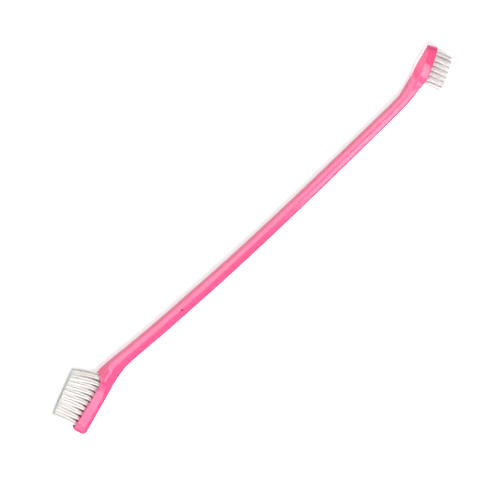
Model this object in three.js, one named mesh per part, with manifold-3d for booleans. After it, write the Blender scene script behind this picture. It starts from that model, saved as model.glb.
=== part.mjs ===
// Double-ended toothbrush for pets, lying on its side: a one-piece moulded handle of
// octagonal section, a large head and a small head that face opposite ways, and one
// nylon tuft with its wire anchor in every hole.
//
// Frame: +X along the handle from the large head to the small one, +Y the way the large
// head's bristles point, +Z up. The middle plane of the moulding is z = 0 while it is
// built; at the end the origin goes to the bottom centre of the whole brush.

import * as THREE from 'three';
import Module from 'manifold-3d';
import { mergeVertices } from 'three/addons/utils/BufferGeometryUtils.js';

const wasm = await Module();
wasm.setup();

// ---- Driving dimensions, in millimetres and degrees ----

const LARGE_HEAD_HALF_WIDTH = 5.3;
const SMALL_HEAD_HALF_WIDTH = 4.42;

const BACK_CORNER_RADIUS = 1.8; // free end of the large head, seen from the side
const FACE_CORNER_RADIUS = 1.2;
const PLAN_CORNER_RADIUS = 2.8; // free end of either head, seen from the bristle side
const SMALL_TIP_RADIUS = 0.8;

const RIDGE_SOFTENING = 0.32; // how far each moulded ridge is cut back
const SECTION_SPACING = 6; // between sections along the plain handle
const FINE_SPACING = 1.9; // between sections at the heads and necks
const ROUND_END_STEPS = [0, 0.15, 0.65, 1.5, 2.8]; // sections at a rounded end
const LEAST_SPACING = 0.4;

const LARGE_FACE = {
  start: [-106.2, -2.9], // where the bristle face meets the free end
  slope: 14.6, // of the face against the handle's axis
  side: 1, // the bristles point to +Y
};
const SMALL_FACE = {
  start: [97.0, -2.44],
  slope: 27.4,
  side: -1, // the bristles point to -Y
};

const POCKET_HALF_WIDTH = 5.6; // the heel's wall curves round the last row
const POCKET_HEIGHT = 12;
const POCKET_OVERRUN = 6; // past the free end
const HEEL_DISTANCE = 24.9; // from the free end to the heel, along the face

const HOLE_RADIUS = 0.8;
const HOLE_DEPTH = 3.2;
const HOLE_OPENING = 0.5; // how far the cut starts outside the face
const SLOT_CLEARANCE = 0.12;

const TUFT_ROOT_RADIUS = 0.68;
const TUFT_TIP_RADIUS = 0.95;
const TUFT_SIDES = 8;
const TUFT_DEPTH = 2.9; // of the folded end below the face
const TUFT_RINGS = 3; // above the face
const RING_CROWDING = 1.3; // above 1, the rings are closer together near the face
const BEND_LENGTH = 3.5; // over which a tuft turns from its hole to its final lean
const LINE_STEP = 0.1; // between the points of a tuft's centre line

const ANCHOR = { width: 2.2, thickness: 0.3, height: 1.3 };

const LARGE_ROWS = {
  first: 2.7, // from the face's start to the first row
  pitch: 2.33,
  columns: [3, 3, 3, 3, 3, 3, 3, 3, 3, 2],
  columnSpacing: 3.15,
  firstLean: 20, // final lean from the Y axis, towards the free end
  evenRows: 3, // rows that lean alike, before the lean starts to change
  leanStep: 2.3, // more for each row nearer the neck
  trimPoint: [-108, 7.05], // a point of the plane that all tips are trimmed to
  trimSlope: 21.9,
};
const SMALL_ROWS = {
  first: 0.05,
  pitch: 2.12,
  columns: [2, 3, 3, 3, 3, 3, 2],
  columnSpacing: 2.7,
  firstLean: 21,
  evenRows: 1,
  leanStep: -0.2,
  trimPoint: [108.4, -4.6],
  trimSlope: 26.5,
};

// The small pit where the moulding gate was broken off, beside the upper ridge.
const GATE_PIT = { x: -39.95, y: 0.93, z: 3.06, radius: 0.46, floorRadius: 0.36, depth: 1 };
const GATE_PIT_SIDES = 12;

// ---- Cross-sections ----

// A section has ten corners, alike above and below the middle plane. These are the six of
// the upper half, from the +Y edge to the -Y edge: share of the thickness, share of the half
// width.
const OCTAGON = [[1, 0], [0.854, 0.707], [0.677, 0.854], [0.5, 1], [0.146, 0.707], [0, 0]];
const LARGE_HEAD = [[1, 0], [1, 1], [0.6, 1], [0.25, 1], [0, 0.76], [0, 0]];
const HEEL_EDGE = [[1, 0], [0.95, 0.58], [0.62, 1], [0.25, 1], [0, 0.76], [0, 0]];
const HEEL_START = [[1, 0], [0.84, 0.58], [0.57, 1], [0.3, 1], [0.01, 0.76], [0, 0]];
const HEEL = [[1, 0], [0.76, 0.66], [0.58, 0.88], [0.42, 1], [0.05, 0.75], [0, 0]];
const SMALL_NECK = [[1, 0], [0.88, 0.68], [0.7, 0.84], [0.53, 1], [0.1, 0.78], [0, 0]];
const SMALL_FLARE = [[1, 0], [0.95, 0.62], [0.75, 0.81], [0.55, 1], [0.04, 0.9], [0, 0]];
const SMALL_BASE = [[1, 0], [1, 0.55], [0.79, 0.775], [0.58, 1], [0, 1], [0, 0]];
const SMALL_CREST = [[1, 0], [1, 0.58], [0.82, 0.79], [0.64, 1], [0, 1], [0, 0]];
const SMALL_TIP = [[1, 0], [1, 0.72], [0.9, 0.86], [0.8, 1], [0, 1], [0, 0]];

// Sections in order along the brush: the +Y edge, the -Y edge, the half width, the corners.
// The large head's +Y edge is above its bristle face, which the pocket then cuts flat.
const STATIONS = [
  station([-106.3, -2.51], [-104.8, -8.1], LARGE_HEAD_HALF_WIDTH, LARGE_HEAD),
  station([-89.6, 1.82], [-88.2, -3.28], LARGE_HEAD_HALF_WIDTH, LARGE_HEAD),
  station([-88.2, 3.0], [-86.8, -2.87], LARGE_HEAD_HALF_WIDTH, LARGE_HEAD),
  station([-86.9, 5.2], [-85.2, -2.42], 5.27, HEEL_EDGE),
  station([-85.3, 6.3], [-83.7, -2.05], 5.12, HEEL_START),
  station([-83.3, 6.8], [-82, -1.83], 4.7, HEEL),
  station([-80.6, 7.0], [-79.8, -1.38], 3.95, HEEL),
  station([-76.2, 6.85], [-75.8, -0.62], 3.45, OCTAGON),
  station([-72.4, 6.5], [-72.3, -0.25], 3.25, OCTAGON),
  station([-68, 6.05], [-68, -0.35], 3.2, OCTAGON),
  station([-62.5, 5.58], [-62.5, -0.72], 3.15, OCTAGON),
  station([-50, 4.66], [-50, -1.56], 3.11, OCTAGON),
  station([-35, 3.85], [-35, -2.3], 3.08, OCTAGON),
  station([-20, 3.05], [-20, -2.98], 3.02, OCTAGON),
  station([0, 2.25], [0, -3.57], 2.91, OCTAGON),
  station([20, 1.8], [20, -3.88], 2.84, OCTAGON),
  station([40, 1.52], [40, -4.02], 2.77, OCTAGON),
  station([60, 1.38], [60, -4.04], 2.71, OCTAGON),
  station([78, 1.24], [78.2, -3.98], 2.61, OCTAGON),
  station([84.6, 1.4], [85, -3.84], 2.6, OCTAGON),
  station([88.6, 2.2], [89.6, -3.4], 2.6, OCTAGON),
  station([91.6, 3.05], [93.2, -2.88], 2.66, SMALL_NECK),
  station([93.6, 3.72], [95.4, -2.62], 3.0, SMALL_NECK),
  station([94.9, 4.2], [96.7, -2.3], 3.6, SMALL_FLARE),
  station([96.4, 4.68], [98.2, -1.5], 4.15, SMALL_BASE),
  station([98, 5.25], [99.8, -0.82], 4.3, SMALL_BASE),
  station([101.3, 6.32], [103.3, 0.83], SMALL_HEAD_HALF_WIDTH, SMALL_CREST),
  station([102.3, 6.61], [104.32, 1.36], 4.31, SMALL_CREST),
  station([108.6, 8.4], [110.75, 4.68], 3.45, SMALL_TIP),
];
const NECK_STATIONS = { first: 9, last: 19 }; // the plain handle lies between these

function station(upper, lower, half, corners) {
  return { upper, lower, half, corners };
}

function radians(degrees) {
  return (degrees * Math.PI) / 180;
}

function asNumbers({ upper, lower, half, corners }) {
  return [...upper, ...lower, half, ...corners.flat()];
}

// Distance of each station along the brush, measured between the sections' middles.
function stationDistances() {
  const middles = STATIONS.map(({ upper, lower }) => [
    (upper[0] + lower[0]) / 2,
    (upper[1] + lower[1]) / 2,
  ]);
  const distances = [0];
  for (let i = 1; i < middles.length; i += 1) {
    const step = Math.hypot(
      middles[i][0] - middles[i - 1][0],
      middles[i][1] - middles[i - 1][1],
    );
    distances.push(distances[i - 1] + step);
  }
  return distances;
}

// Slope at each station of a curve through `values` that never overshoots them.
function monotoneSlopes(distances, values) {
  const chords = distances.slice(1).map((d, i) => {
    return (values[i + 1] - values[i]) / (d - distances[i]);
  });
  return distances.map((_, i) => {
    const before = chords[Math.max(i - 1, 0)];
    const after = chords[Math.min(i, chords.length - 1)];
    return before * after <= 0 ? 0 : (2 * before * after) / (before + after);
  });
}

const DISTANCES = stationDistances();
const LENGTH = DISTANCES[DISTANCES.length - 1];
const TABLE = STATIONS.map(asNumbers);
const COLUMNS = TABLE[0].map((_, k) => TABLE.map((row) => row[k]));
const SLOPES = COLUMNS.map((column) => monotoneSlopes(DISTANCES, column));

// The section at a distance along the brush, as a station with smoothly changing numbers.
function sectionAt(distance) {
  let i = 0;
  while (i < DISTANCES.length - 2 && distance > DISTANCES[i + 1]) {
    i += 1;
  }
  const span = DISTANCES[i + 1] - DISTANCES[i];
  const t = (distance - DISTANCES[i]) / span;
  const numbers = COLUMNS.map((column, k) => {
    const rise = column[i + 1] - column[i];
    const start = SLOPES[k][i] * span;
    const end = SLOPES[k][i + 1] * span;
    const bend = 3 * rise - 2 * start - end + t * (start + end - 2 * rise);
    return column[i] + t * (start + t * bend);
  });
  const corners = [];
  for (let k = 5; k < numbers.length; k += 2) {
    corners.push([numbers[k], numbers[k + 1]]);
  }
  return {
    upper: numbers.slice(0, 2),
    lower: numbers.slice(2, 4),
    half: numbers[4],
    corners,
  };
}

// How far a rounded end of this radius is inside the full outline, near the end.
function roundedInset(radius, distance) {
  const inside = Math.max(radius - distance, 0);
  return radius - Math.sqrt(radius * radius - inside * inside);
}

// Points of one section's outline, as [x, y, z], with every corner cut back a little.
function sectionOutline(distance) {
  const { upper, lower, half, corners } = sectionAt(distance);
  const fromEnd = LENGTH - distance;
  const thickness = Math.hypot(upper[0] - lower[0], upper[1] - lower[1]);
  const across = [(upper[0] - lower[0]) / thickness, (upper[1] - lower[1]) / thickness];
  const backInset = roundedInset(BACK_CORNER_RADIUS, distance);
  const faceInset = roundedInset(FACE_CORNER_RADIUS, distance);
  const tipInset = roundedInset(SMALL_TIP_RADIUS, fromEnd);
  const low = backInset + tipInset;
  const high = thickness - faceInset - tipInset;
  const plan = Math.min(distance, fromEnd);
  const halfNow = half - roundedInset(PLAN_CORNER_RADIUS, plan);
  const place = ([share, side]) => [low + share * (high - low), side * halfNow];
  const top = corners.map(place);
  const bottom = top.slice(1, -1).reverse().map(([u, z]) => [u, -z]);
  const ring = softenCorners([...top, ...bottom], RIDGE_SOFTENING);
  return ring.map(([u, z]) => [lower[0] + u * across[0], lower[1] + u * across[1], z]);
}

// Each corner becomes two points, one on either side of it.
function softenCorners(ring, amount) {
  const points = [];
  for (let i = 0; i < ring.length; i += 1) {
    const corner = new THREE.Vector2(...ring[i]);
    const neighbours = [ring.at(i - 1), ring[(i + 1) % ring.length]];
    for (const neighbour of neighbours) {
      const edge = new THREE.Vector2(...neighbour).sub(corner);
      const cut = Math.min(amount, edge.length() / 3);
      points.push(corner.clone().add(edge.setLength(cut)).toArray());
    }
  }
  return points;
}

// Distances of the sections: close together at the rounded ends and the necks.
function sectionDistances() {
  const fineUntil = DISTANCES[NECK_STATIONS.first];
  const fineFrom = DISTANCES[NECK_STATIONS.last];
  const distances = [...ROUND_END_STEPS];
  let at = ROUND_END_STEPS.at(-1);
  const lastPlain = LENGTH - ROUND_END_STEPS.at(-1);
  const farFromStations = (d) => DISTANCES.every((s) => Math.abs(s - d) > LEAST_SPACING);
  while (at < lastPlain) {
    at += at < fineUntil || at > fineFrom ? FINE_SPACING : SECTION_SPACING;
    if (at < lastPlain - LEAST_SPACING && farFromStations(at)) {
      distances.push(at);
    }
  }
  distances.push(...DISTANCES.slice(1, -1));
  distances.push(...ROUND_END_STEPS.map((step) => LENGTH - step));
  return distances.sort((a, b) => a - b);
}

// Closed surface through rings of equally many points, with a fan over each end.
function loft(rings) {
  const count = rings[0].length;
  const positions = rings.flat(2);
  const index = [];
  for (let r = 0; r < rings.length - 1; r += 1) {
    for (let i = 0; i < count; i += 1) {
      const a = r * count + i;
      const b = r * count + ((i + 1) % count);
      index.push(a, b, a + count, b, b + count, a + count);
    }
  }
  const last = (rings.length - 1) * count;
  for (let i = 1; i < count - 1; i += 1) {
    index.push(0, i + 1, i, last, last + i, last + i + 1);
  }
  const geometry = new THREE.BufferGeometry();
  geometry.setAttribute('position', new THREE.Float32BufferAttribute(positions, 3));
  geometry.setIndex(index);
  return geometry;
}

// ---- Solids ----

function toSolid(geometry) {
  const bare = geometry.clone();
  bare.deleteAttribute('normal');
  bare.deleteAttribute('uv');
  const merged = mergeVertices(bare, 1e-4);
  const mesh = new wasm.Mesh({
    numProp: 3,
    vertProperties: new Float32Array(merged.attributes.position.array),
    triVerts: new Uint32Array(merged.index.array),
  });
  return new wasm.Manifold(mesh);
}

function toGeometry(solid) {
  const mesh = solid.getMesh();
  const geometry = new THREE.BufferGeometry();
  geometry.setAttribute('position', new THREE.Float32BufferAttribute(mesh.vertProperties, 3));
  geometry.setIndex(Array.from(mesh.triVerts));
  geometry.computeVertexNormals();
  return geometry;
}

// A point on a head's face, or `out` beyond it, at a distance along the face.
function facePoint(face, along, out, z) {
  const angle = radians(face.slope);
  return new THREE.Vector3(
    face.start[0] + along * Math.cos(angle) - out * face.side * Math.sin(angle),
    face.start[1] + along * Math.sin(angle) + out * face.side * Math.cos(angle),
    z,
  );
}

// Turns and moves geometry built with +Y as the face's normal and +X along the face.
function placeOnFace(geometry, face, along, out, z) {
  const turn = radians(face.slope) + (face.side < 0 ? Math.PI : 0);
  const point = facePoint(face, along, out, z);
  return geometry.rotateZ(turn).translate(point.x, point.y, point.z);
}

// The room over the large head's bristle face, ending in the rounded wall of the heel.
function pocket() {
  const outline = new THREE.Shape();
  const centre = HEEL_DISTANCE - POCKET_HALF_WIDTH;
  outline.moveTo(-POCKET_OVERRUN, -POCKET_HALF_WIDTH);
  outline.lineTo(centre, -POCKET_HALF_WIDTH);
  outline.absarc(centre, 0, POCKET_HALF_WIDTH, -Math.PI / 2, Math.PI / 2, false);
  outline.lineTo(-POCKET_OVERRUN, POCKET_HALF_WIDTH);
  outline.closePath();
  const settings = { depth: POCKET_HEIGHT, bevelEnabled: false, curveSegments: 24 };
  const geometry = new THREE.ExtrudeGeometry(outline, settings).rotateX(-Math.PI / 2);
  return toSolid(placeOnFace(geometry, LARGE_FACE, 0, 0, 0));
}

// A tuft hole with the slot that its anchor is driven into.
function hole(tuft) {
  const length = HOLE_DEPTH + HOLE_OPENING;
  const bore = new THREE.CylinderGeometry(HOLE_RADIUS, HOLE_RADIUS, length, TUFT_SIDES);
  const slot = new THREE.BoxGeometry(
    ANCHOR.thickness + 2 * SLOT_CLEARANCE,
    ANCHOR.height + 2 * SLOT_CLEARANCE,
    ANCHOR.width + 2 * SLOT_CLEARANCE,
  );
  const slotOut = -TUFT_DEPTH + ANCHOR.height / 2;
  const { face, along, z } = tuft;
  const boreSolid = toSolid(placeOnFace(bore, face, along, HOLE_OPENING - length / 2, z));
  return boreSolid.add(toSolid(placeOnFace(slot, face, along, slotOut, z)));
}

// ---- Tufts ----

function tuftsOf(prefix, face, rows) {
  const letters = ['a', 'b', 'c'];
  return rows.columns.flatMap((columns, row) => {
    return letters.slice(0, columns).map((letter, column) => ({
      name: `${prefix}_tuft_r${String(row + 1).padStart(2, '0')}_${letter}`,
      face,
      rows,
      along: rows.first + row * rows.pitch,
      lean: rows.firstLean + Math.max(row + 1 - rows.evenRows, 0) * rows.leanStep,
      z: ((columns - 1) / 2 - column) * rows.columnSpacing,
    }));
  });
}

// How far a point is from the plane that the tips are trimmed to, before it is reached.
function distanceToTrim(rows, side, point) {
  const slope = radians(rows.trimSlope);
  const dx = point.x - rows.trimPoint[0];
  const dy = point.y - rows.trimPoint[1];
  return side * (dx * Math.sin(slope) - dy * Math.cos(slope));
}

// Direction of a tuft at a length above its face: first the hole's, then its final lean.
function tuftDirection(tuft, length) {
  const { face, lean } = tuft;
  const turned = 1 - Math.exp(-Math.max(length, 0) / BEND_LENGTH);
  const angle = radians(face.slope + (lean - face.slope) * turned);
  return new THREE.Vector3(-face.side * Math.sin(angle), face.side * Math.cos(angle), 0);
}

// A ring of a tuft around `centre`, square to `direction`.
function tuftRing(centre, direction, radius) {
  const across = new THREE.Vector3(0, 0, 1).cross(direction);
  return Array.from({ length: TUFT_SIDES }, (_, i) => {
    const angle = (2 * Math.PI * (i + 0.5)) / TUFT_SIDES;
    const offset = across.clone().multiplyScalar(radius * Math.cos(angle));
    return centre.clone().add(offset).add(new THREE.Vector3(0, 0, radius * Math.sin(angle)));
  });
}

// The centre line above the face, in short steps, up to the trimming plane.
function tuftLine(tuft) {
  const line = [facePoint(tuft.face, tuft.along, 0, tuft.z)];
  while (distanceToTrim(tuft.rows, tuft.face.side, line.at(-1)) > 0) {
    const direction = tuftDirection(tuft, line.length * LINE_STEP);
    line.push(line.at(-1).clone().addScaledVector(direction, LINE_STEP));
  }
  return line;
}

function tuftSolid(tuft) {
  const line = tuftLine(tuft);
  const folded = facePoint(tuft.face, tuft.along, -TUFT_DEPTH, tuft.z);
  const rings = [
    tuftRing(folded, tuftDirection(tuft, 0), TUFT_ROOT_RADIUS),
  ];
  for (let i = 0; i <= TUFT_RINGS; i += 1) {
    const share = i / TUFT_RINGS;
    const at = Math.round(share ** RING_CROWDING * (line.length - 1));
    const direction = tuftDirection(tuft, at * LINE_STEP);
    const radius = THREE.MathUtils.lerp(TUFT_ROOT_RADIUS, TUFT_TIP_RADIUS, share);
    rings.push(tuftRing(line[at], direction, radius));
  }
  const tip = rings.at(-1);
  const tipDirection = tuftDirection(tuft, line.length * LINE_STEP);
  const slope = radians(tuft.rows.trimSlope);
  const trimNormal = new THREE.Vector3(-Math.sin(slope), Math.cos(slope), 0);
  const outward = tuft.face.side * tipDirection.dot(trimNormal);
  tip.forEach((point) => {
    const gap = distanceToTrim(tuft.rows, tuft.face.side, point);
    point.addScaledVector(tipDirection, gap / outward);
  });
  const bundle = loft(rings.map((ring) => ring.map((point) => point.toArray())));
  const anchor = new THREE.BoxGeometry(ANCHOR.thickness, ANCHOR.height, ANCHOR.width);
  const anchorOut = -TUFT_DEPTH + ANCHOR.height / 2;
  placeOnFace(anchor, tuft.face, tuft.along, anchorOut, tuft.z);
  return toSolid(bundle).add(toSolid(anchor));
}

// ---- Handle ----

function gatePit() {
  const { x, y, z, radius, floorRadius, depth } = GATE_PIT;
  const taper = (radius - floorRadius) / depth;
  const height = 2 * depth;
  const topRadius = floorRadius + taper * height;
  const pit = new THREE.CylinderGeometry(topRadius, floorRadius, height, GATE_PIT_SIDES);
  return toSolid(pit.rotateX(Math.PI / 2).translate(x, y, z));
}

function handleSolid(tufts) {
  let solid = toSolid(loft(sectionDistances().map(sectionOutline))).subtract(pocket());
  for (const tuft of tufts) {
    solid = solid.subtract(hole(tuft));
  }
  return solid.subtract(gatePit());
}

// ---- Assembly ----

const pinkPlastic = { color: '#f5699b', roughness: 0.25, metalness: 0 };
const whiteNylon = { color: '#f1edea', roughness: 0.45, metalness: 0 };

function namedMesh(name, solid, finish) {
  const mesh = new THREE.Mesh(toGeometry(solid), new THREE.MeshStandardMaterial(finish));
  mesh.name = name;
  return mesh;
}

const tufts = [
  ...tuftsOf('large', LARGE_FACE, LARGE_ROWS),
  ...tuftsOf('small', SMALL_FACE, SMALL_ROWS),
];

const brush = new THREE.Group();
brush.add(namedMesh('handle', handleSolid(tufts), pinkPlastic));
for (const tuft of tufts) {
  brush.add(namedMesh(tuft.name, tuftSolid(tuft), whiteNylon));
}

const extent = new THREE.Box3().setFromObject(brush);
const middle = extent.getCenter(new THREE.Vector3());
brush.position.set(-middle.x, -middle.y, -extent.min.z);

export default brush;
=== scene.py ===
"""Looks of the double-ended pet toothbrush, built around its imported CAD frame.

The moulded handle is a fine loft of the same sections that the CAD handle has, with the
bristle pocket and the tuft holes cut into it. Every tuft is a bundle of nylon filaments
folded under its wire anchor; its line, depth and trimmed end are read from its CAD node.
Sizes are in millimetres; MM turns them into Blender's metres.
"""

import math

import bmesh
import bpy
import numpy as np
from mathutils import Matrix, Vector


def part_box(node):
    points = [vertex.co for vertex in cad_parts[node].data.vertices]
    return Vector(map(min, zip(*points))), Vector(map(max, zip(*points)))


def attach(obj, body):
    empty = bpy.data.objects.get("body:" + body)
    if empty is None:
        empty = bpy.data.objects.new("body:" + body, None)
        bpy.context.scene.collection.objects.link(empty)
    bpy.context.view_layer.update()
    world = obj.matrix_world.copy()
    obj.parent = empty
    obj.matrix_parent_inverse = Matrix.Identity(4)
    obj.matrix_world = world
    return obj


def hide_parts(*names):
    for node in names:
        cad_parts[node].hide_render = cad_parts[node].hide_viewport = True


MM = 0.001
SEED = 27

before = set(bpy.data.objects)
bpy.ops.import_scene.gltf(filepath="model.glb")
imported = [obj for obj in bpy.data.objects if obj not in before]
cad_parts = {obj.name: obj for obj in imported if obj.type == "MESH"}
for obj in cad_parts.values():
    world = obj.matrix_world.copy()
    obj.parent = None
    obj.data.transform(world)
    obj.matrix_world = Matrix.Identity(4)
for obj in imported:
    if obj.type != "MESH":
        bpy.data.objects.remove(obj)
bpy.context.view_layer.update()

# ---- Sections of the moulding ----

LARGE_HALF_WIDTH = 5.3
BACK_CORNER_RADIUS = 1.8
FACE_CORNER_RADIUS = 1.2
PLAN_CORNER_RADIUS = 2.8
SMALL_TIP_RADIUS = 0.8
RIDGE_SOFTENING = 0.34
CORNER_STEPS = 4
CORNER_SHARE = 0.3  # of an edge, the most that one softened corner takes
EDGE_POINTS = 3

ROUND_END_RINGS = 12
ROUND_END_MARGIN = 0.3
LARGE_HEAD_SPACING = 0.4  # between rings, up to the end of the large head's neck
HANDLE_SPACING = 1.6
SMALL_HEAD_SPACING = 0.35
NECK_STATIONS = (9, 18)  # the plain handle lies between these

LARGE_FACE_START = (-106.2, -2.9)
LARGE_FACE_SLOPE = 14.6
SMALL_FACE_SLOPE = 27.4
POCKET_HALF_WIDTH = 5.6
POCKET_HEIGHT = 12
POCKET_OVERRUN = 6  # past the free end
POCKET_ARC_POINTS = 49
HEEL_DISTANCE = 24.9

# Corners of a section's upper half, from the +Y edge to the -Y edge: share of the
# thickness, share of the half width.
OCTAGON = ((1, 0), (0.854, 0.707), (0.677, 0.854), (0.5, 1), (0.146, 0.707), (0, 0))
LARGE_HEAD = ((1, 0), (1, 1), (0.6, 1), (0.25, 1), (0, 0.76), (0, 0))
HEEL_EDGE = ((1, 0), (0.95, 0.58), (0.62, 1), (0.25, 1), (0, 0.76), (0, 0))
HEEL_START = ((1, 0), (0.84, 0.58), (0.57, 1), (0.3, 1), (0.01, 0.76), (0, 0))
HEEL = ((1, 0), (0.76, 0.66), (0.58, 0.88), (0.42, 1), (0.05, 0.75), (0, 0))
SMALL_NECK = ((1, 0), (0.88, 0.68), (0.7, 0.84), (0.53, 1), (0.1, 0.78), (0, 0))
SMALL_FLARE = ((1, 0), (0.95, 0.62), (0.75, 0.81), (0.55, 1), (0.04, 0.9), (0, 0))
SMALL_BASE = ((1, 0), (1, 0.55), (0.79, 0.775), (0.58, 1), (0, 1), (0, 0))
SMALL_CREST = ((1, 0), (1, 0.58), (0.82, 0.79), (0.64, 1), (0, 1), (0, 0))
SMALL_TIP = ((1, 0), (1, 0.72), (0.9, 0.86), (0.8, 1), (0, 1), (0, 0))

GATE_PIT = (-39.95, 0.93, 3.06)  # on the handle's upper ridge, at its surface
GATE_PIT_PROFILE = ((0.28, -1.0), (0.36, -0.92), (0.44, -0.05), (0.54, 0.3))
GATE_PIT_SIDES = 20
GATE_PIT_SHADE_CENTRE = (0, 0, -0.6)  # from GATE_PIT; painted shade: the plastic around this point, down in the gate pit, is darker
GATE_PIT_SHADE_RADII = (0.7, 0.8)  # the painted shade is full up to the first and gone from the second

# Sections in order along the brush: the +Y edge, the -Y edge, the half width, the corners.
STATIONS = (
    ((-106.3, -2.51), (-104.8, -8.1), LARGE_HALF_WIDTH, LARGE_HEAD),
    ((-89.6, 1.82), (-88.2, -3.28), LARGE_HALF_WIDTH, LARGE_HEAD),
    ((-88.2, 3.0), (-86.8, -2.87), LARGE_HALF_WIDTH, LARGE_HEAD),
    ((-86.9, 5.2), (-85.2, -2.42), 5.27, HEEL_EDGE),
    ((-85.3, 6.3), (-83.7, -2.05), 5.12, HEEL_START),
    ((-83.3, 6.8), (-82, -1.83), 4.7, HEEL),
    ((-80.6, 7.0), (-79.8, -1.38), 3.95, HEEL),
    ((-76.2, 6.85), (-75.8, -0.62), 3.45, OCTAGON),
    ((-72.4, 6.5), (-72.3, -0.25), 3.25, OCTAGON),
    ((-68, 6.05), (-68, -0.35), 3.2, OCTAGON),
    ((-62.5, 5.58), (-62.5, -0.72), 3.15, OCTAGON),
    ((-50, 4.66), (-50, -1.56), 3.11, OCTAGON),
    ((-35, 3.85), (-35, -2.3), 3.08, OCTAGON),
    ((-20, 3.05), (-20, -2.98), 3.02, OCTAGON),
    ((0, 2.25), (0, -3.57), 2.91, OCTAGON),
    ((20, 1.8), (20, -3.88), 2.84, OCTAGON),
    ((40, 1.52), (40, -4.02), 2.77, OCTAGON),
    ((60, 1.38), (60, -4.04), 2.71, OCTAGON),
    ((78, 1.24), (78.2, -3.98), 2.61, OCTAGON),
    ((84.6, 1.4), (85, -3.84), 2.6, OCTAGON),
    ((88.6, 2.2), (89.6, -3.4), 2.6, OCTAGON),
    ((91.6, 3.05), (93.2, -2.88), 2.66, SMALL_NECK),
    ((93.6, 3.72), (95.4, -2.62), 3.0, SMALL_NECK),
    ((94.9, 4.2), (96.7, -2.3), 3.6, SMALL_FLARE),
    ((96.4, 4.68), (98.2, -1.5), 4.15, SMALL_BASE),
    ((98, 5.25), (99.8, -0.82), 4.3, SMALL_BASE),
    ((101.3, 6.32), (103.3, 0.83), 4.42, SMALL_CREST),
    ((102.3, 6.61), (104.32, 1.36), 4.31, SMALL_CREST),
    ((108.6, 8.4), (110.75, 4.68), 3.45, SMALL_TIP),
)


def monotone_slopes(distances, values):
    """Slopes at the stations of a curve through `values` that never overshoots them."""
    chords = np.diff(values) / np.diff(distances)
    before = np.concatenate((chords[:1], chords))
    after = np.concatenate((chords, chords[-1:]))
    total = before + after
    safe = np.where(np.abs(total) < 1e-12, 1, total)
    return np.where(before * after <= 0, 0, 2 * before * after / safe)


class Moulding:
    """The sections of the brush as smooth functions of the distance along it."""

    def __init__(self, stations):
        rows = [
            [*upper, *lower, half, *np.ravel(corners)]
            for upper, lower, half, corners in stations
        ]
        self.table = np.array(rows, float)
        middles = (self.table[:, 0:2] + self.table[:, 2:4]) / 2
        steps = np.linalg.norm(np.diff(middles, axis=0), axis=1)
        self.distances = np.concatenate(([0], np.cumsum(steps)))
        self.length = self.distances[-1]
        columns = self.table.T
        self.slopes = np.array([monotone_slopes(self.distances, c) for c in columns]).T

    def section(self, distance):
        last = len(self.distances) - 2
        i = min(int(np.searchsorted(self.distances, distance, side="right")) - 1, last)
        span = self.distances[i + 1] - self.distances[i]
        t = (distance - self.distances[i]) / span
        rise = self.table[i + 1] - self.table[i]
        start = self.slopes[i] * span
        end = self.slopes[i + 1] * span
        bend = 3 * rise - 2 * start - end + t * (start + end - 2 * rise)
        numbers = self.table[i] + t * (start + t * bend)
        return numbers[0:2], numbers[2:4], numbers[4], numbers[5:].reshape(-1, 2)

    def ring(self, distance):
        """Points of one section's outline, in millimetres, around the middle plane."""
        upper, lower, half, corners = self.section(distance)
        from_end = self.length - distance
        thickness = np.linalg.norm(upper - lower)
        across = (upper - lower) / thickness
        tip_inset = rounded_inset(SMALL_TIP_RADIUS, from_end)
        low = rounded_inset(BACK_CORNER_RADIUS, distance) + tip_inset
        high = thickness - rounded_inset(FACE_CORNER_RADIUS, distance) - tip_inset
        half -= rounded_inset(PLAN_CORNER_RADIUS, min(distance, from_end))
        top = np.column_stack((low + corners[:, 0] * (high - low), corners[:, 1] * half))
        bottom = top[-2:0:-1] * (1, -1)
        flat = soften(np.vstack((top, bottom)))
        places = lower + flat[:, :1] * across
        return np.column_stack((places, flat[:, 1]))

    def ring_distances(self):
        """Close together at the rounded ends and the necks, wider along the handle."""
        turns = np.linspace(0, math.pi / 2, ROUND_END_RINGS)
        rounded = PLAN_CORNER_RADIUS * (1 - np.cos(turns))
        neck_end, neck_start = (self.distances[i] for i in NECK_STATIONS)
        last = self.length - PLAN_CORNER_RADIUS - ROUND_END_MARGIN
        return np.concatenate((
            rounded,
            np.arange(PLAN_CORNER_RADIUS + ROUND_END_MARGIN, neck_end, LARGE_HEAD_SPACING),
            np.arange(neck_end, neck_start, HANDLE_SPACING),
            np.arange(neck_start, last, SMALL_HEAD_SPACING),
            (self.length - rounded)[::-1],
        ))


def rounded_inset(radius, distance):
    """How far a rounded end of this radius is inside the full outline, near the end."""
    inside = max(radius - distance, 0)
    return radius - math.sqrt(radius * radius - inside * inside)


def soften(ring):
    """Every corner becomes a small curve, and every edge gets points of its own."""
    before = np.roll(ring, 1, axis=0) - ring
    after = np.roll(ring, -1, axis=0) - ring
    points = []
    for corner, back, forth in zip(ring, before, after):
        back_share = min(RIDGE_SOFTENING / np.linalg.norm(back), CORNER_SHARE)
        forth_share = min(RIDGE_SOFTENING / np.linalg.norm(forth), CORNER_SHARE)
        start = corner + back * back_share
        end = corner + forth * forth_share
        for t in np.linspace(0, 1, CORNER_STEPS + 1):
            points.append((1 - t) ** 2 * start + 2 * t * (1 - t) * corner + t * t * end)
        other = corner + forth * (1 - forth_share)
        for t in np.linspace(0, 1, EDGE_POINTS + 2)[1:-1]:
            points.append(end + t * (other - end))
    return np.array(points)


def shift_into_frame(rings):
    """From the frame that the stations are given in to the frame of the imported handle."""
    low, high = (np.array(corner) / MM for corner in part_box("handle"))
    return (low + high) / 2 - (rings.min(axis=0) + rings.max(axis=0)) / 2


moulding = Moulding(STATIONS)
moulding_rings = [moulding.ring(d) for d in moulding.ring_distances()]
SHIFT = shift_into_frame(np.vstack(moulding_rings))

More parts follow.
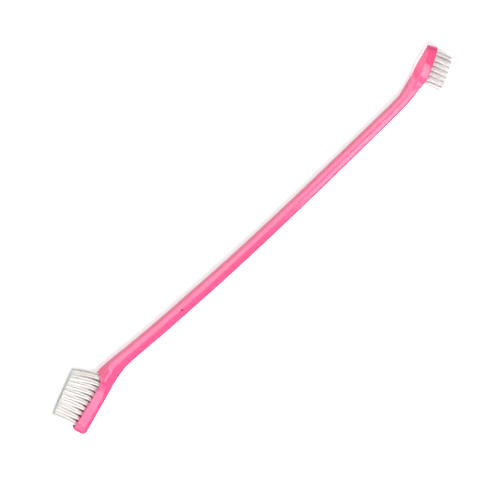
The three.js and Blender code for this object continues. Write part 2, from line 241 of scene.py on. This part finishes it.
# ---- Mesh helpers ----


def new_object(name, vertices, faces, material=None):
    """A mesh object from points in millimetres."""
    mesh = bpy.data.meshes.new(name)
    mesh.from_pydata((np.asarray(vertices) * MM).tolist(), [], faces)
    mesh.update()
    piece = bpy.data.objects.new(name, mesh)
    bpy.context.scene.collection.objects.link(piece)
    if material:
        mesh.materials.append(material)
    return piece


def loft(rings):
    """Vertices and faces of a closed surface through rings of equally many points."""
    count = len(rings[0])
    faces = []
    for r in range(len(rings) - 1):
        for i in range(count):
            a = r * count + i
            b = r * count + (i + 1) % count
            faces.append((a, b, b + count, a + count))
    last = (len(rings) - 1) * count
    faces.append(tuple(range(count))[::-1])
    faces.append(tuple(range(last, last + count)))
    return np.vstack(rings), faces


def prism(outline, height):
    """Vertices and faces of an outline (x, z) raised along +Y from 0 to `height`."""
    low = [(x, 0, z) for x, z in outline]
    high = [(x, height, z) for x, z in outline]
    return loft([np.array(low), np.array(high)])


def lathe(profile, sides):
    """Vertices and faces of a profile (radius, y) turned round the Y axis."""
    turns = np.linspace(0, 2 * math.pi, sides, endpoint=False)
    rings = [
        np.column_stack((r * np.cos(turns), np.full(sides, y), -r * np.sin(turns)))
        for r, y in profile
    ]
    return loft(rings)


def outward(piece):
    """Makes every face of a closed piece point out."""
    shape = bmesh.new()
    shape.from_mesh(piece.data)
    bmesh.ops.recalc_face_normals(shape, faces=shape.faces)
    shape.to_mesh(piece.data)
    shape.free()
    return piece


def apply_modifiers(piece):
    depsgraph = bpy.context.evaluated_depsgraph_get()
    mesh = bpy.data.meshes.new_from_object(piece.evaluated_get(depsgraph))
    piece.modifiers.clear()
    piece.data = mesh


def cut(piece, cutter):
    """Takes the cutter's volume out of the piece, and removes the cutter."""
    modifier = piece.modifiers.new("cut", "BOOLEAN")
    modifier.operation = "DIFFERENCE"
    modifier.solver = "EXACT"
    modifier.object = cutter
    apply_modifiers(piece)
    bpy.data.objects.remove(cutter)


def joined(name, parts):
    """One object from several (vertices, faces) pairs, in millimetres."""
    vertices, faces, offset = [], [], 0
    for part_vertices, part_faces in parts:
        vertices.append(np.asarray(part_vertices))
        faces += [tuple(i + offset for i in face) for face in part_faces]
        offset += len(part_vertices)
    return new_object(name, np.vstack(vertices), faces)


CREASE_DEGREES = 32
FLAT_FACE_WEIGHT = 80


def smooth_except_creases(piece):
    """Smooth shading that stays flat on flat faces and breaks at creases."""
    shape = bmesh.new()
    shape.from_mesh(piece.data)
    limit = math.radians(CREASE_DEGREES)
    for face in shape.faces:
        face.smooth = True
    for edge in shape.edges:
        edge.smooth = len(edge.link_faces) == 2 and edge.calc_face_angle(0) < limit
    shape.to_mesh(piece.data)
    shape.free()
    weighted = piece.modifiers.new("flat_faces_stay_flat", "WEIGHTED_NORMAL")
    weighted.keep_sharp = True
    weighted.weight = FLAT_FACE_WEIGHT


# ---- Tufts, as the frame has them ----

CAD_RING_GAP = 0.8  # along the face's normal, less than between two rings of a CAD tuft


def unit(vector):
    return vector / np.linalg.norm(vector)


def unit_rows(vectors):
    return vectors / np.linalg.norm(vectors, axis=-1, keepdims=True)


class Tuft:
    """Line, axis and trimmed end of one tuft, read from its CAD node's rings."""

    def __init__(self, node, normal):
        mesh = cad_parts[node].data
        points = np.array([v.co for v in mesh.vertices], float) / MM
        points = np.unique(points.round(3), axis=0)
        heights = points @ normal
        order = np.argsort(heights)
        breaks = np.flatnonzero(np.diff(heights[order]) > CAD_RING_GAP) + 1
        rings = np.split(points[order], breaks)
        centres = [ring.mean(axis=0) for ring in rings]
        self.name = node
        self.row = node.rsplit("_", 1)[0]
        self.folded = centres[0]
        self.line = np.array(centres[-4:])
        self.axis = unit(self.line[0] - self.folded)
        self.side = unit(np.cross(self.axis, (0, 0, 1)))
        tip = rings[-1] - centres[-1]
        self.trim = unit(np.linalg.svd(tip)[2][2])
        if self.trim @ self.axis < 0:
            self.trim = -self.trim
        self.depth = np.linalg.norm(self.line[0] - self.folded)

    def centre(self, shares):
        """Points of the centre line above the face, at shares of its length."""
        steps = np.linalg.norm(np.diff(self.line, axis=0), axis=1)
        knots = np.concatenate(([0], np.cumsum(steps)))
        at = np.asarray(shares) * knots[-1]
        before = self.line[0] - self.axis * steps[0]
        padded = np.vstack((before, self.line, 2 * self.line[-1] - self.line[-2]))
        knots_padded = np.concatenate(([-steps[0]], knots, [knots[-1] + steps[-1]]))
        slopes = (padded[2:] - padded[:-2]) / (knots_padded[2:] - knots_padded[:-2])[:, None]
        slopes[0] = self.axis
        i = np.clip(np.searchsorted(knots, at, side="right") - 1, 0, len(steps) - 1)
        span = steps[i][:, None]
        t = ((at - knots[i]) / steps[i])[:, None]
        rise = self.line[i + 1] - self.line[i]
        start, end = slopes[i] * span, slopes[i + 1] * span
        bend = 3 * rise - 2 * start - end + t * (start + end - 2 * rise)
        return self.line[i] + t * (start + t * bend)


def face_normal(slope_degrees, side):
    angle = math.radians(slope_degrees)
    return np.array((-side * math.sin(angle), side * math.cos(angle), 0))


def tufts_of(prefix, normal):
    names = sorted(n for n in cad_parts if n.startswith(prefix))
    return [Tuft(name, normal) for name in names]


large_tufts = tufts_of("large_tuft", face_normal(LARGE_FACE_SLOPE, 1))
small_tufts = tufts_of("small_tuft", face_normal(SMALL_FACE_SLOPE, -1))

# ---- Materials ----


class Nodes:
    """Short spelling for building a node material."""

    def __init__(self, name):
        self.material = bpy.data.materials.new(name)
        self.material.use_nodes = True
        self.tree = self.material.node_tree
        self.shader = self.tree.nodes["Principled BSDF"]

    def add(self, kind, inputs=None, **settings):
        node = self.tree.nodes.new(kind)
        for key, value in settings.items():
            setattr(node, key, value)
        for key, value in (inputs or {}).items():
            self.set(node.inputs[key], value)
        return node

    def set(self, socket, value):
        if isinstance(value, bpy.types.NodeSocket):
            self.tree.links.new(value, socket)
        else:
            socket.default_value = value

    def shade(self, **values):
        for key, value in values.items():
            self.set(self.shader.inputs[key.replace("_", " ")], value)

    def noise(self, scale, detail=3, roughness=0.5, stretch=None):
        place = self.add("ShaderNodeTexCoord").outputs["Object"]
        if stretch:
            place = self.add(
                "ShaderNodeMapping", {"Vector": place, "Scale": stretch}
            ).outputs["Vector"]
        return self.add(
            "ShaderNodeTexNoise",
            {"Vector": place, "Scale": scale, "Detail": detail, "Roughness": roughness},
        ).outputs["Fac"]

    def spread(self, value, low, high, from_low=0.3, from_high=0.7):
        return self.add(
            "ShaderNodeMapRange",
            {"Value": value, "From Min": from_low, "From Max": from_high,
             "To Min": low, "To Max": high},
        ).outputs["Result"]

    def blend(self, share, first, second, mode="MIX"):
        node = self.add("ShaderNodeMix", data_type="RGBA", blend_type=mode)
        self.set(node.inputs["Factor"], share)
        self.set(node.inputs[6], first)
        self.set(node.inputs[7], second)
        return node.outputs[2]

    def bump(self, height, distance, strength=1.0, normal=None):
        inputs = {"Height": height, "Distance": distance, "Strength": strength}
        if normal:
            inputs["Normal"] = normal
        return self.add("ShaderNodeBump", inputs).outputs["Normal"]


DEEP_PINK = (0.92, 0.085, 0.25, 1)
PALE_PINK = (0.94, 0.1, 0.28, 1)
# the plastic's colour in the painted shade of the gate pit
PIT_SHADE_PINK = (0.66, 0.04, 0.15, 1)
DARK_BRASS = (0.62, 0.55, 0.4, 1)
PALE_BRASS = (0.8, 0.76, 0.66, 1)
# One nylon in two copies: the large head's whites are lighter as painted light, the small head's
# darker and pinker as painted shade.
LARGE_HEAD_LIT_WHITES = ((0.95, 0.93, 0.905, 1), (0.99, 0.975, 0.955, 1))
SMALL_HEAD_SHADED_WHITES = ((0.91, 0.86, 0.855, 1), (0.95, 0.91, 0.905, 1))
ROOT_GLOW = (1.0, 0.86, 0.89, 1)  # pink light that the handle gives the filaments' roots
ROOT_GLOW_HEIGHT = 2.2


def pink_plastic():
    """Glossy moulded polypropylene: faint flow marks, a fine skin, light handling marks and
    painted shade in the gate pit.
    """
    m = Nodes("pink_plastic")
    flow = m.noise(9, 3, 0.5, (0.35, 1, 1))
    cloud = m.noise(70, 2)
    colour = m.blend(m.spread(flow, 0, 1), DEEP_PINK, PALE_PINK)
    place = m.add("ShaderNodeTexCoord").outputs["Object"]
    # Painted shade: the plastic turns darker in and around the gate pit, where the recess is in
    # shade.
    pit = Vector(SHIFT + GATE_PIT + GATE_PIT_SHADE_CENTRE) * MM
    from_pit = m.add(
        "ShaderNodeVectorMath", {0: place, 1: pit}, operation="DISTANCE"
    ).outputs["Value"]
    inner, outer = (radius * MM for radius in GATE_PIT_SHADE_RADII)
    colour = m.blend(m.spread(from_pit, 1, 0, inner, outer), colour, PIT_SHADE_PINK)
    skin = m.noise(2600, 2, 0.55)
    waves = m.noise(160, 2, 0.4, (0.5, 1, 1))
    scuffs = m.noise(900, 5, 0.7, (0.12, 1, 1))
    roughness = m.add(
        "ShaderNodeMath",
        {0: m.spread(cloud, 0.2, 0.27), 1: m.spread(scuffs, 0, 0.1, 0.56, 0.75)},
        operation="ADD",
    ).outputs[0]
    normal = m.bump(skin, 0.000006, 0.5)
    normal = m.bump(waves, 0.00006, 0.35, normal)
    m.shade(
        Base_Color=colour, Roughness=roughness, Normal=normal, IOR=1.49,
        Subsurface_Weight=0.18, Subsurface_Radius=(1.0, 0.25, 0.4), Subsurface_Scale=0.0012,
    )
    return m.material


def white_nylon(name, whites, tuft):
    """Filaments between two whites, no two quite the same, pink with light near the face; each
    head's whites carry painted light or shade.
    """
    m = Nodes(name)
    island = m.add("ShaderNodeNewGeometry").outputs["Random Per Island"]
    colour = m.blend(island, *whites)
    place = m.add("ShaderNodeTexCoord").outputs["Object"]
    height = m.add(
        "ShaderNodeVectorMath", {0: place, 1: tuft.axis.tolist()}, operation="DOT_PRODUCT"
    ).outputs["Value"]
    face = float(tuft.line[0] @ tuft.axis) * MM
    share = m.spread(height, 1, 0, face, face + ROOT_GLOW_HEIGHT * MM)
    colour = m.blend(share, colour, ROOT_GLOW, "MULTIPLY")
    streaks = m.noise(3000, 2)
    m.shade(
        Base_Color=colour, Roughness=m.spread(streaks, 0.4, 0.52), IOR=1.53,
        Specular_IOR_Level=0.3, Normal=m.bump(streaks, 0.000004, 0.4),
    )
    return m.material


def anchor_metal():
    """Drawn nickel-brass wire with fine scratches along it."""
    m = Nodes("anchor_metal")
    drawn = m.noise(5000, 3, 0.6, (1, 1, 0.05))
    colour = m.blend(m.spread(drawn, 0, 1), DARK_BRASS, PALE_BRASS)
    m.shade(
        Base_Color=colour, Metallic=1.0, Roughness=m.spread(drawn, 0.2, 0.4),
        Normal=m.bump(drawn, 0.000004, 0.5),
    )
    return m.material


# ---- Handle ----

HOLE_RADIUS = 0.8
HOLE_DEPTH = 3.2
HOLE_SIDES = 24
HOLE_FLOOR_BEVEL = (0.16, 0.25)  # across the hole, along it
MOUTH_CHAMFER = 0.12
MOUTH_OPENING = (0.36, 0.24)  # across the hole, along it: the cutter's end over the face


def pocket_cutter():
    """The room over the large head's bristle face, ending in the heel's rounded wall."""
    half = POCKET_HALF_WIDTH
    centre = HEEL_DISTANCE - half
    turns = np.linspace(-math.pi / 2, math.pi / 2, POCKET_ARC_POINTS)
    end = [(centre + half * math.cos(a), half * math.sin(a)) for a in turns]
    outline = [(-POCKET_OVERRUN, -half), *end, (-POCKET_OVERRUN, half)]
    vertices, faces = prism(outline, POCKET_HEIGHT)
    turn = np.array(Matrix.Rotation(math.radians(LARGE_FACE_SLOPE), 3, "Z"))
    start = np.array((*LARGE_FACE_START, 0)) + SHIFT
    return outward(new_object("pocket_cutter", vertices @ turn.T + start, faces))


def tuft_axes(tuft):
    """Columns: across the tuft, out of its face, along the brush's height."""
    return np.column_stack((tuft.side, tuft.axis, np.cross(tuft.side, tuft.axis)))


def hole_shape(tuft):
    """A blind hole with a chamfered mouth, standing on a tuft's root."""
    profile = (
        (HOLE_RADIUS - HOLE_FLOOR_BEVEL[0], -HOLE_DEPTH),
        (HOLE_RADIUS, -HOLE_DEPTH + HOLE_FLOOR_BEVEL[1]),
        (HOLE_RADIUS, -MOUTH_CHAMFER),
        (HOLE_RADIUS + MOUTH_OPENING[0], MOUTH_OPENING[1]),
    )
    vertices, faces = lathe(profile, HOLE_SIDES)
    return vertices @ tuft_axes(tuft).T + tuft.line[0], faces


def gate_pit():
    """The small pit where the moulding gate was broken off."""
    vertices, faces = lathe(GATE_PIT_PROFILE, GATE_PIT_SIDES)
    upright = np.array(Matrix.Rotation(math.pi / 2, 3, "X"))
    return vertices @ upright.T + GATE_PIT + SHIFT, faces


def build_handle(material):
    vertices, faces = loft(moulding_rings)
    handle = outward(new_object("moulded_handle", vertices + SHIFT, faces, material))
    cut(handle, pocket_cutter())
    holes = [hole_shape(tuft) for tuft in large_tufts + small_tufts]
    cut(handle, outward(joined("hole_cutter", [*holes, gate_pit()])))
    smooth_except_creases(handle)
    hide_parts("handle")
    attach(handle, "root")


# ---- Bristles ----

FILAMENT_RADIUS = 0.08
FILAMENT_SIDES = 6
PACKING = 0.155
ROOT_RADIUS = 0.64
TIP_RADIUS_ALONG = 1.04
TIP_RADIUS_ACROSS = 1.28
# How many times wider a row opens than the others do: towards the handle, towards the
# brush's end, and across the brush.
OPEN_ROWS = {"large_tuft_r01": (1, 1.6, 1), "large_tuft_r10": (1, 1, 1.4)}
LEVELS = (0.0, 0.06, 0.16, 0.3, 0.47, 0.65, 0.83, 1.0)  # shares of a filament's length
OPENING_POWER = 3.4  # a tuft opens fast over its root and hardly at all near its tip
HEX_ROW_SHARE = 0.866  # of the packing, between rows of packed filaments
HALF_ANCHOR_GAP = 0.14
MOST_IN_A_ROW = 8
EDGE_INSET = 0.4  # of a filament's radius, by which the outer ones stay inside the hole
PACKING_SPREAD = 0.012
TIP_DRIFT = 0.03
WILD_SHARE = 0.02
WILD_DRIFT = 3.2  # times the drift of the others
SWAY_POWER = 1.6
LENGTH_SPREAD = 0.07
FOLD_OVER_FLOOR = 0.12
FOLD_NESTING = 0.16
# Shares of a filament's distance from the middle and of its depth, from side to side.
FOLD_STOPS = (
    (1.0, 0.35), (1.0, 0.78), (0.72, 0.95), (0.0, 1.0), (-0.72, 0.95), (-1.0, 0.78), (-1.0, 0.35),
)
DOME_STEP = 0.7  # times the filament's radius
DOME_SHARES = (0.5, 0.93)  # of the radius, at the tip and at the stop before it


def packed_offsets(rng):
    """Places of half the filaments in a hole, on one side of the anchor, from -1 to 1."""
    offsets = []
    rows = int(ROOT_RADIUS / (PACKING * HEX_ROW_SHARE)) + 1
    for row in range(-rows, rows + 1):
        across = row * PACKING * HEX_ROW_SHARE
        start = PACKING / 2 if row % 2 else 0
        for step in range(MOST_IN_A_ROW):
            along = HALF_ANCHOR_GAP + start + step * PACKING
            if math.hypot(along, across) < ROOT_RADIUS - FILAMENT_RADIUS * EDGE_INSET:
                offsets.append((along, across))
    offsets = np.array(offsets) + rng.normal(0, PACKING_SPREAD, (len(offsets), 2))
    return offsets / ROOT_RADIUS


def leg_points(tuft, offsets, mirror, rng):
    """Points of each filament above the face, from root to tip: filament, level, xyz."""
    levels = np.array(LEVELS)
    centre = tuft.centre(levels)
    ahead = unit_rows(np.gradient(centre, axis=0))
    side = unit_rows(np.cross(ahead, (0, 0, 1)))
    opening = 1 - (1 - levels) ** OPENING_POWER
    handle_fan, end_fan, across_fan = OPEN_ROWS.get(tuft.row, (1, 1, 1))
    along_fan = handle_fan if mirror > 0 else end_fan
    along = ROOT_RADIUS + (TIP_RADIUS_ALONG * along_fan - ROOT_RADIUS) * opening
    across = ROOT_RADIUS + (TIP_RADIUS_ACROSS * across_fan - ROOT_RADIUS) * opening
    a = mirror * offsets[:, 0][:, None]
    b = offsets[:, 1][:, None]
    count = len(offsets)
    drift = rng.normal(0, TIP_DRIFT, (count, 2))
    wild = rng.random(count) < WILD_SHARE
    drift[wild] *= WILD_DRIFT
    sway = levels**SWAY_POWER
    a_now = a * along + drift[:, :1] * sway
    b_now = b * across + drift[:, 1:] * sway
    points = centre + a_now[..., None] * side + b_now[..., None] * np.array((0, 0, 1))
    end = ahead[-1]
    short = -((points[:, -1] - centre[-1]) @ tuft.trim) / (end @ tuft.trim)
    short += rng.normal(0, LENGTH_SPREAD, count)
    return points + (short[:, None] * levels**2)[..., None] * end


def fold_points(tuft, offsets):
    """Points of each filament inside its hole: down one side, under the anchor, and up."""
    a = offsets[:, :1] * ROOT_RADIUS
    b = offsets[:, 1:] * ROOT_RADIUS
    deepest = tuft.depth - FOLD_OVER_FLOOR + FOLD_NESTING * offsets[:, :1]
    rings = []
    for share, depth in FOLD_STOPS:
        along = a * share
        point = tuft.line[0] + along * tuft.side - depth * deepest * tuft.axis
        rings.append(point + b * np.array((0, 0, 1)))
    return np.stack(rings, axis=1)


def tube_mesh(paths, radius):
    """Vertices and faces of round tubes with domed ends along paths: tube, point, xyz."""
    tubes, stops = paths.shape[:2]
    ahead = unit_rows(np.gradient(paths, axis=1))
    first = unit_rows(np.cross(ahead, (0, 0, 1)))
    second = np.cross(ahead, first)
    thickness = np.full(stops, radius)
    thickness[[0, -1]] *= DOME_SHARES[0]
    thickness[[1, -2]] *= DOME_SHARES[1]
    turns = np.linspace(0, 2 * math.pi, FILAMENT_SIDES, endpoint=False)
    wheel = (
        np.cos(turns)[:, None] * first[:, :, None, :]
        + np.sin(turns)[:, None] * second[:, :, None, :]
    )
    vertices = paths[:, :, None, :] + thickness[None, :, None, None] * wheel
    k = FILAMENT_SIDES
    faces = []
    for tube in range(tubes):
        base = tube * stops * k
        for stop in range(stops - 1):
            at = base + stop * k
            for i in range(k):
                j = (i + 1) % k
                faces.append((at + i, at + j, at + k + j, at + k + i))
        faces.append(tuple(base + i for i in range(k))[::-1])
        faces.append(tuple(base + (stops - 1) * k + i for i in range(k)))
    return vertices.reshape(-1, 3), faces


def with_rounded_tips(legs):
    """Adds a short last step to each filament, so that its end can be domed."""
    last_step = unit_rows(legs[:, -1] - legs[:, -2]) * FILAMENT_RADIUS * DOME_STEP
    return np.concatenate((legs, (legs[:, -1] + last_step)[:, None]), axis=1)


def build_tuft(tuft, material, rng):
    offsets = packed_offsets(rng)
    near = with_rounded_tips(leg_points(tuft, offsets, 1, rng))
    far = with_rounded_tips(leg_points(tuft, offsets, -1, rng))
    fold = fold_points(tuft, offsets)
    paths = np.concatenate((near[:, ::-1], fold, far), axis=1)
    vertices, faces = tube_mesh(paths, FILAMENT_RADIUS)
    bundle = outward(new_object(tuft.name + "_filaments", vertices, faces, material))
    for face in bundle.data.polygons:
        face.use_smooth = len(face.vertices) == 4
    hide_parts(tuft.name)
    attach(bundle, "root")


ANCHOR_WIDTH = 2.15
ANCHOR_HEIGHT = 1.3
ANCHOR_THICKNESS = 0.22
ANCHOR_CORNER = 0.06
ANCHOR_OVER_FOLD = 0.25


def build_anchors(name, tufts, material):
    """The flat wire anchors of one head, each a plate with softened edges."""
    half = (ANCHOR_THICKNESS / 2, ANCHOR_HEIGHT / 2, ANCHOR_WIDTH / 2)
    c = ANCHOR_CORNER
    rings = []
    for z, inset in ((-half[2], c), (-half[2] + c, 0), (half[2] - c, 0), (half[2], c)):
        x, y = half[0] - inset, half[1] - inset
        corners = ((x - c / 2, y), (x, y - c), (x, c - y), (x - c / 2, -y),
                   (c / 2 - x, -y), (-x, c - y), (-x, y - c), (c / 2 - x, y))
        rings.append(np.array([(px, py, z) for px, py in corners]))
    vertices, faces = loft(rings)
    parts = []
    for tuft in tufts:
        middle = tuft.folded + tuft.axis * (ANCHOR_HEIGHT / 2 + ANCHOR_OVER_FOLD)
        parts.append((vertices @ tuft_axes(tuft).T + middle, faces))
    anchors = outward(joined(name, parts))
    anchors.data.materials.append(material)
    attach(anchors, "root")


# ---- Stage, light and camera ----

VIEW_TILT = 9.0  # degrees from straight down, towards +Y
VIEW_TURN = 44.3  # degrees that the brush's axis rises to the right in the picture
VIEW_DISTANCE = 1500
VIEW_WIDTH = 205.7  # across the picture, at the brush
VIEW_CENTRE = (-2.76, -1.39, 0.22)  # in the stations' frame
CAMERA_REACH = 10  # metres

BRISTLE_BOUNCES = 10  # white filaments pass light on many times
ROOM_RADIANCE = 0.5
FLOOR_HALF_SIZE = 2500
FLOOR_GLOW = 0.5
FLOOR_BOUNCE = 0.3  # share of the floor's colour that lights the brush from below
FLOOR_MIRRORED = (0.05, 2.4)  # glow of the floor in the brush's gloss, at its -Y and +Y side
FLOOR_MIRROR_EDGE = 4  # either side of the middle, over which one glow turns into the other
PALE_PAPERS = ((0.84, 0.9, 0.88, 1), (0.85, 0.91, 0.89, 1))
# Name, degrees towards +Y from straight up, distance, x, width along X, height, radiance,
# and what it lights: the colour of things, or only their gloss.
SOFTBOXES = (
    ("key_softbox", -20, 600, -180, 560, 420, 5.05, "diffuse"),
    ("rim_softbox", 70, 500, 0, 600, 200, 0.35, "diffuse"),
    ("back_gloss", 36, 450, -60, 560, 130, 6.0, "gloss"),
    ("side_gloss", 70, 450, -40, 600, 170, 3.6, "gloss"),
    ("front_gloss", -54, 112, 71, 92, 66, 7.4, "gloss"),
    ("large_head_gloss", -9, 450, -119, 50, 150, 7.2, "gloss"),
    ("small_head_gloss", -9, 60, 93, 20, 22, 7.0, "gloss"),
    ("flare_gloss", -12, 410, -490, 150, 700, 9.0, "gloss"),
)


def floor_material():
    """Pale paper: how much it lights and mirrors in the brush is set apart from its looks."""
    m = Nodes("pale_floor")
    grain = m.noise(40, 3)
    ray = m.add("ShaderNodeLightPath").outputs
    pale = m.blend(m.spread(grain, 0, 1), *PALE_PAPERS)
    dim = m.blend(FLOOR_BOUNCE, (0, 0, 0, 1), pale)
    place = m.add("ShaderNodeTexCoord").outputs["Object"]
    y = m.add("ShaderNodeSeparateXYZ", {"Vector": place}).outputs["Y"]
    edge = FLOOR_MIRROR_EDGE * MM
    mirrored = m.spread(y, *FLOOR_MIRRORED, -edge, edge)
    glow = m.add(
        "ShaderNodeMath", {0: ray["Is Camera Ray"], 1: FLOOR_GLOW}, operation="MULTIPLY"
    ).outputs[0]
    glow = m.add(
        "ShaderNodeMath", {0: ray["Is Glossy Ray"], 1: mirrored, 2: glow}, operation="MULTIPLY_ADD"
    ).outputs[0]
    m.shade(
        Base_Color=m.blend(ray["Is Camera Ray"], dim, pale), Roughness=0.9,
        Normal=m.bump(grain, 0.00001, 0.2), Specular_IOR_Level=0.1,
        Emission_Color=(1, 1, 1, 1), Emission_Strength=glow,
    )
    return m.material


def build_floor():
    half = FLOOR_HALF_SIZE
    corners = ((-half, -half, 0), (half, -half, 0), (half, half, 0), (-half, half, 0))
    floor = new_object("floor", corners, [(0, 1, 2, 3)], floor_material())


def softbox(name, place, width, height, radiance, lights):
    """A rectangular softbox over `place`, facing the brush; radiance 1 is a white page."""
    data = bpy.data.lights.new(name, "AREA")
    data.shape = "RECTANGLE"
    data.size = width * MM
    data.size_y = height * MM
    data.energy = radiance * math.pi * data.size * data.size_y
    light = bpy.data.objects.new(name, data)
    bpy.context.scene.collection.objects.link(light)
    light.visible_glossy = lights == "gloss"
    light.visible_diffuse = lights == "diffuse"
    along = Vector((1, 0, 0))
    back = Vector((0, place[1], place[2])).normalized()
    up = back.cross(along)
    axes = Matrix((along, up, back)).transposed().to_4x4()
    light.matrix_world = Matrix.Translation(Vector(place) * MM) @ axes


def towards(degrees, distance, x):
    """A place over the brush, this many degrees from straight up towards +Y."""
    angle = math.radians(degrees)
    return x, distance * math.sin(angle), distance * math.cos(angle)


def build_lights():
    world = bpy.data.worlds.new("studio")
    world.use_nodes = True
    tree = world.node_tree
    seen = tree.nodes.new("ShaderNodeLightPath").outputs["Is Camera Ray"]
    strength = tree.nodes.new("ShaderNodeMapRange")
    strength.inputs["To Min"].default_value = ROOM_RADIANCE
    tree.links.new(seen, strength.inputs["Value"])
    background = tree.nodes["Background"]
    background.inputs["Color"].default_value = (1, 1, 1, 1)
    tree.links.new(strength.outputs["Result"], background.inputs["Strength"])
    bpy.context.scene.world = world
    for name, degrees, distance, x, width, height, radiance, lights in SOFTBOXES:
        softbox(name, towards(degrees, distance, x), width, height, radiance, lights)


def build_camera():
    tilt, turn = math.radians(VIEW_TILT), math.radians(VIEW_TURN)
    along = Vector((1, 0, 0))
    upward = Vector((0, math.cos(tilt), -math.sin(tilt)))
    back = Vector((0, math.sin(tilt), math.cos(tilt)))
    right = math.cos(turn) * along - math.sin(turn) * upward
    up = math.sin(turn) * along + math.cos(turn) * upward
    data = bpy.data.cameras.new("camera")
    data.angle = 2 * math.atan(VIEW_WIDTH / 2 / VIEW_DISTANCE)
    data.clip_end = CAMERA_REACH
    camera = bpy.data.objects.new("camera", data)
    bpy.context.scene.collection.objects.link(camera)
    place = (Vector(SHIFT) + Vector(VIEW_CENTRE) + back * VIEW_DISTANCE) * MM
    axes = Matrix((right, up, back)).transposed().to_4x4()
    camera.matrix_world = Matrix.Translation(place) @ axes
    bpy.context.scene.camera = camera


# ---- Assembly ----

rng = np.random.default_rng(SEED)
pink = pink_plastic()
# The two heads' nylon differs only by painted light and shade.
lit_large_nylon = white_nylon("large_head_nylon_painted_light", LARGE_HEAD_LIT_WHITES, large_tufts[0])
shaded_small_nylon = white_nylon("small_head_nylon_painted_shade", SMALL_HEAD_SHADED_WHITES, small_tufts[0])
metal = anchor_metal()

build_handle(pink)
for tuft in large_tufts:
    build_tuft(tuft, lit_large_nylon, rng)
for tuft in small_tufts:
    build_tuft(tuft, shaded_small_nylon, rng)
build_anchors("large_head_anchors", large_tufts, metal)
build_anchors("small_head_anchors", small_tufts, metal)
build_floor()
build_lights()
build_camera()
bpy.context.scene.view_settings.view_transform = "Standard"
bpy.context.scene.cycles.diffuse_bounces = BRISTLE_BOUNCES
